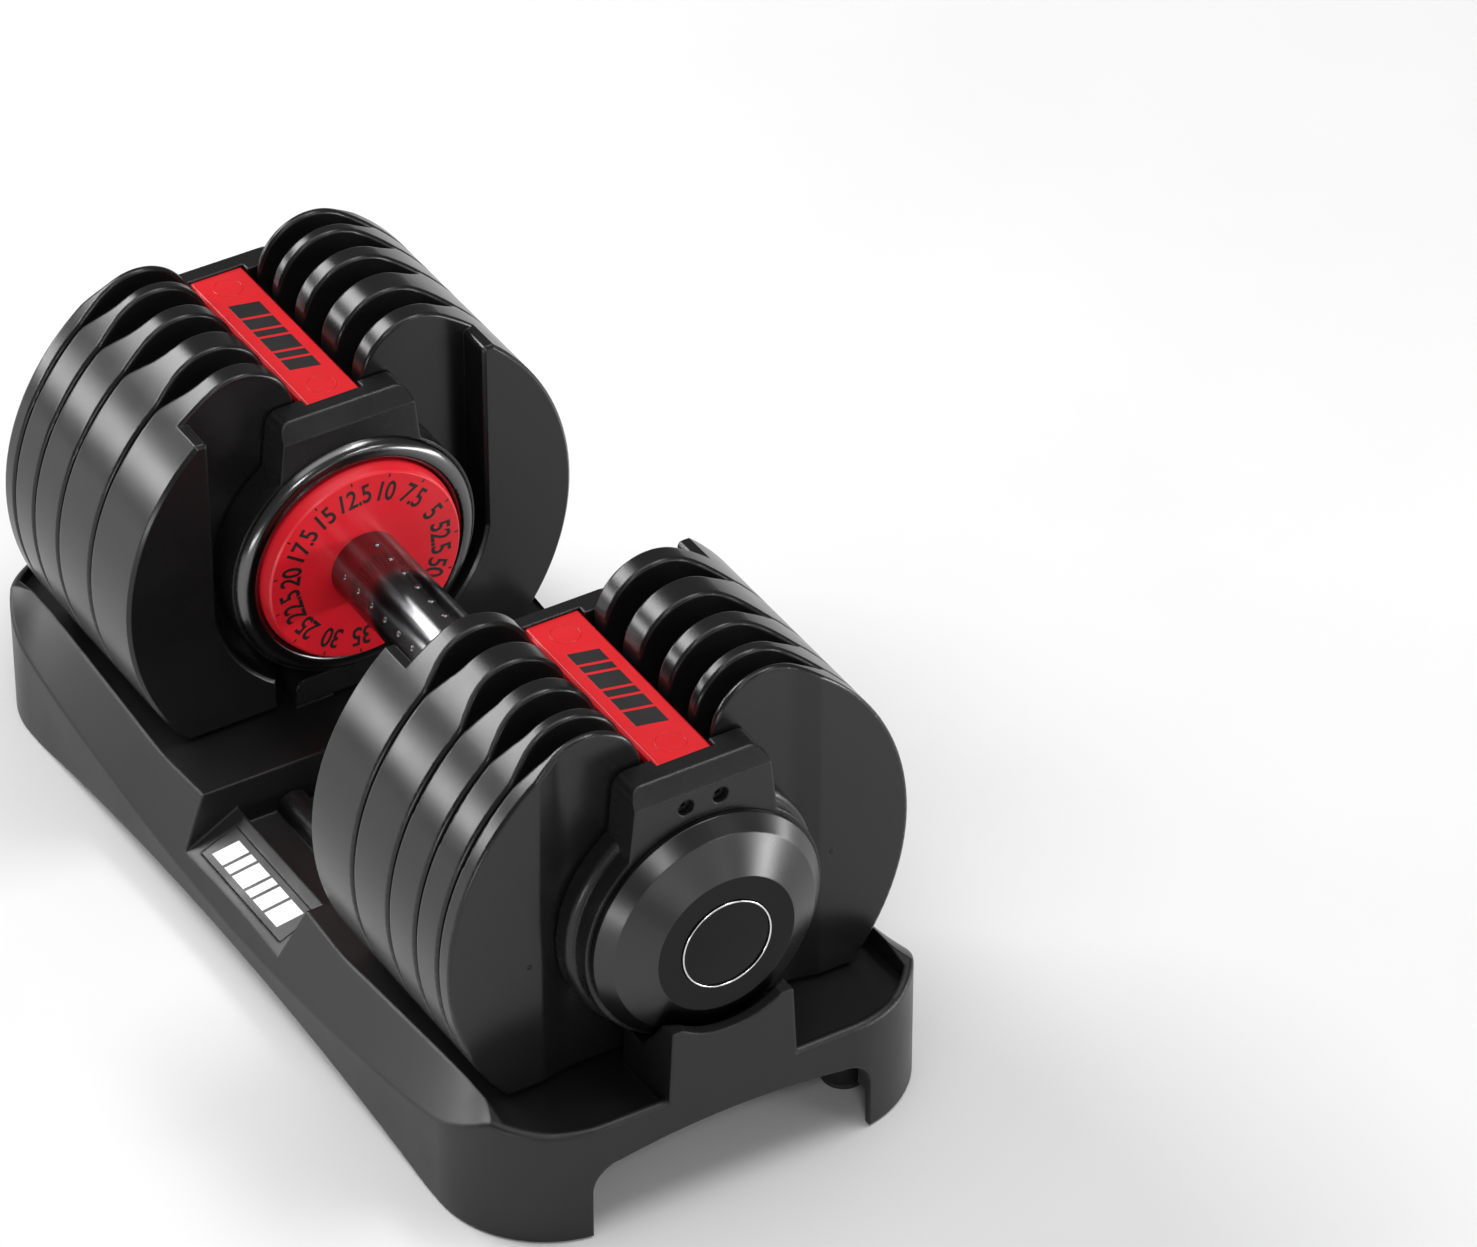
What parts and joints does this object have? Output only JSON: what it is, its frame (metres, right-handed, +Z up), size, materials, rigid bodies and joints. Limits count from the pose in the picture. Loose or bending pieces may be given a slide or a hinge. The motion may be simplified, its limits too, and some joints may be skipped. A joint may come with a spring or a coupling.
{
  "type": "adjustable dumbbell",
  "caption": "Adjustable dumbbell in its cradle: twisting the handle turns end dials and selector discs that hook or leave behind nested steel plates as it lifts out.",
  "frame": {"origin": "on the floor under the middle of the handle, at the centre of the tray's footprint", "axes": "+X along the handle, +Y across the tray, +Z up"},
  "size_m": [0.432, 0.202, 0.2032],
  "materials": {
    "tray_plastic": "moulded satin black",
    "foot_rubber": "matte",
    "badge_plastic": null,
    "plate_coating": "semi-gloss black coating",
    "housing_plastic": "satin",
    "bezel_plastic": "gloss",
    "bush_nylon": "matte",
    "bar_coating": "satin",
    "cover_plastic": "satin",
    "cap_aluminium": "dark satin anodised, turned",
    "cap_disc_aluminium": "dark satin with bright rim",
    "spring_steel": "plain",
    "lock_steel": "plain",
    "dial_plastic": "satin",
    "disc_nylon": "matte",
    "shaft_steel": "plain",
    "grip_chrome": "dark chrome with small raised dots",
    "screw_steel": "black oxide"
  },
  "bodies": {
    "tray": {"tray_shell": "tray_plastic", "tray_feet": "foot_rubber", "badge_plate_front": "badge_plastic", "badge_plate_back": "badge_plastic"},
    "handle_unit": {"inner_housing_left": "housing_plastic", "inner_housing_right": "housing_plastic", "bezel_ring_left": "bezel_plastic", "bezel_ring_right": "bezel_plastic", "inner_bush_left": "bush_nylon", "inner_bush_right": "bush_nylon", "bridge_bar_left": "bar_coating", "bridge_bar_right": "bar_coating", "top_cover_left": "cover_plastic", "top_cover_right": "cover_plastic", "outer_housing_left": "housing_plastic", "outer_housing_right": "housing_plastic", "outer_bush_left": "bush_nylon", "outer_bush_right": "bush_nylon", "end_cap_left": "cap_aluminium", "end_cap_right": "cap_aluminium", "cap_disc_left": "cap_disc_aluminium", "cap_disc_right": "cap_disc_aluminium", "detent_spring_left": "spring_steel", "detent_spring_right": "spring_steel", "housing_screws": "screw_steel"},
    "turning_handle": {"grip_tube": "grip_chrome", "main_shaft": "shaft_steel", "dial_left": "dial_plastic", "dial_right": "dial_plastic", "index_ring_left": "disc_nylon", "index_ring_right": "disc_nylon", "shaft_nut_left": "shaft_steel", "shaft_nut_right": "shaft_steel", "selector_disc_left_1": "disc_nylon", "selector_disc_left_2": "disc_nylon", "selector_disc_left_3": "disc_nylon", "selector_disc_left_4": "disc_nylon", "selector_disc_right_1": "disc_nylon", "selector_disc_right_2": "disc_nylon", "selector_disc_right_3": "disc_nylon", "selector_disc_right_4": "disc_nylon"},
    "left_plate_1": {"plate_left_1": "plate_coating"},
    "left_plate_2": {"plate_left_2": "plate_coating"},
    "left_plate_3": {"plate_left_3": "plate_coating"},
    "left_plate_4": {"plate_left_4": "plate_coating"},
    "left_plate_5": {"plate_left_5": "plate_coating"},
    "left_lock": {"lock_slider_left": "lock_steel", "lock_spring_left": "spring_steel"},
    "right_plate_1": {"plate_right_1": "plate_coating"},
    "right_plate_2": {"plate_right_2": "plate_coating"},
    "right_plate_3": {"plate_right_3": "plate_coating"},
    "right_plate_4": {"plate_right_4": "plate_coating"},
    "right_plate_5": {"plate_right_5": "plate_coating"},
    "right_lock": {"lock_slider_right": "lock_steel", "lock_spring_right": "spring_steel"}
  },
  "joints": [
    {"name": "handle_lift", "type": "slide", "parent": "tray", "child": "handle_unit", "axis": [0, 0, 1], "range_m": [0, 0.2]},
    {"name": "handle_twist", "type": "hinge", "parent": "handle_unit", "child": "turning_handle", "pos_m": [0, 0, 0.114], "axis": [1, 0, 0], "range_deg": [-264, 72]},
    {"name": "left_plate_1_stays", "type": "slide", "parent": "handle_unit", "child": "left_plate_1", "axis": [0, 0, -1], "range_m": [0, 0.2]},
    {"name": "left_plate_2_stays", "type": "slide", "parent": "handle_unit", "child": "left_plate_2", "axis": [0, 0, -1], "range_m": [0, 0.2]},
    {"name": "left_plate_3_stays", "type": "slide", "parent": "handle_unit", "child": "left_plate_3", "axis": [0, 0, -1], "range_m": [0, 0.2]},
    {"name": "left_plate_4_lift", "type": "slide", "parent": "tray", "child": "left_plate_4", "axis": [0, 0, 1], "range_m": [0, 0.2]},
    {"name": "left_plate_5_lift", "type": "slide", "parent": "tray", "child": "left_plate_5", "axis": [0, 0, 1], "range_m": [0, 0.2]},
    {"name": "left_lock_drop", "type": "slide", "parent": "handle_unit", "child": "left_lock", "axis": [0, 0, -1], "range_m": [0, 0.006], "deforming": ["lock_spring_left"]},
    {"name": "right_plate_1_stays", "type": "slide", "parent": "handle_unit", "child": "right_plate_1", "axis": [0, 0, -1], "range_m": [0, 0.2]},
    {"name": "right_plate_2_stays", "type": "slide", "parent": "handle_unit", "child": "right_plate_2", "axis": [0, 0, -1], "range_m": [0, 0.2]},
    {"name": "right_plate_3_stays", "type": "slide", "parent": "handle_unit", "child": "right_plate_3", "axis": [0, 0, -1], "range_m": [0, 0.2]},
    {"name": "right_plate_4_lift", "type": "slide", "parent": "tray", "child": "right_plate_4", "axis": [0, 0, 1], "range_m": [0, 0.2]},
    {"name": "right_plate_5_lift", "type": "slide", "parent": "tray", "child": "right_plate_5", "axis": [0, 0, 1], "range_m": [0, 0.2]},
    {"name": "right_lock_drop", "type": "slide", "parent": "handle_unit", "child": "right_lock", "axis": [0, 0, -1], "range_m": [0, 0.006], "deforming": ["lock_spring_right"]}
  ],
  "couplings": [
    {"joint": "left_plate_1_stays", "follows": "handle_lift", "ratio": 1},
    {"joint": "left_plate_2_stays", "follows": "handle_lift", "ratio": 1},
    {"joint": "left_plate_3_stays", "follows": "handle_lift", "ratio": 1},
    {"joint": "left_plate_4_lift", "follows": "handle_lift", "ratio": 1},
    {"joint": "left_plate_5_lift", "follows": "handle_lift", "ratio": 1},
    {"joint": "left_lock_drop", "follows": "handle_lift", "ratio": 0.03},
    {"joint": "right_plate_1_stays", "follows": "handle_lift", "ratio": 1},
    {"joint": "right_plate_2_stays", "follows": "handle_lift", "ratio": 1},
    {"joint": "right_plate_3_stays", "follows": "handle_lift", "ratio": 1},
    {"joint": "right_plate_4_lift", "follows": "handle_lift", "ratio": 1},
    {"joint": "right_plate_5_lift", "follows": "handle_lift", "ratio": 1},
    {"joint": "right_lock_drop", "follows": "handle_lift", "ratio": 0.03}
  ]
}
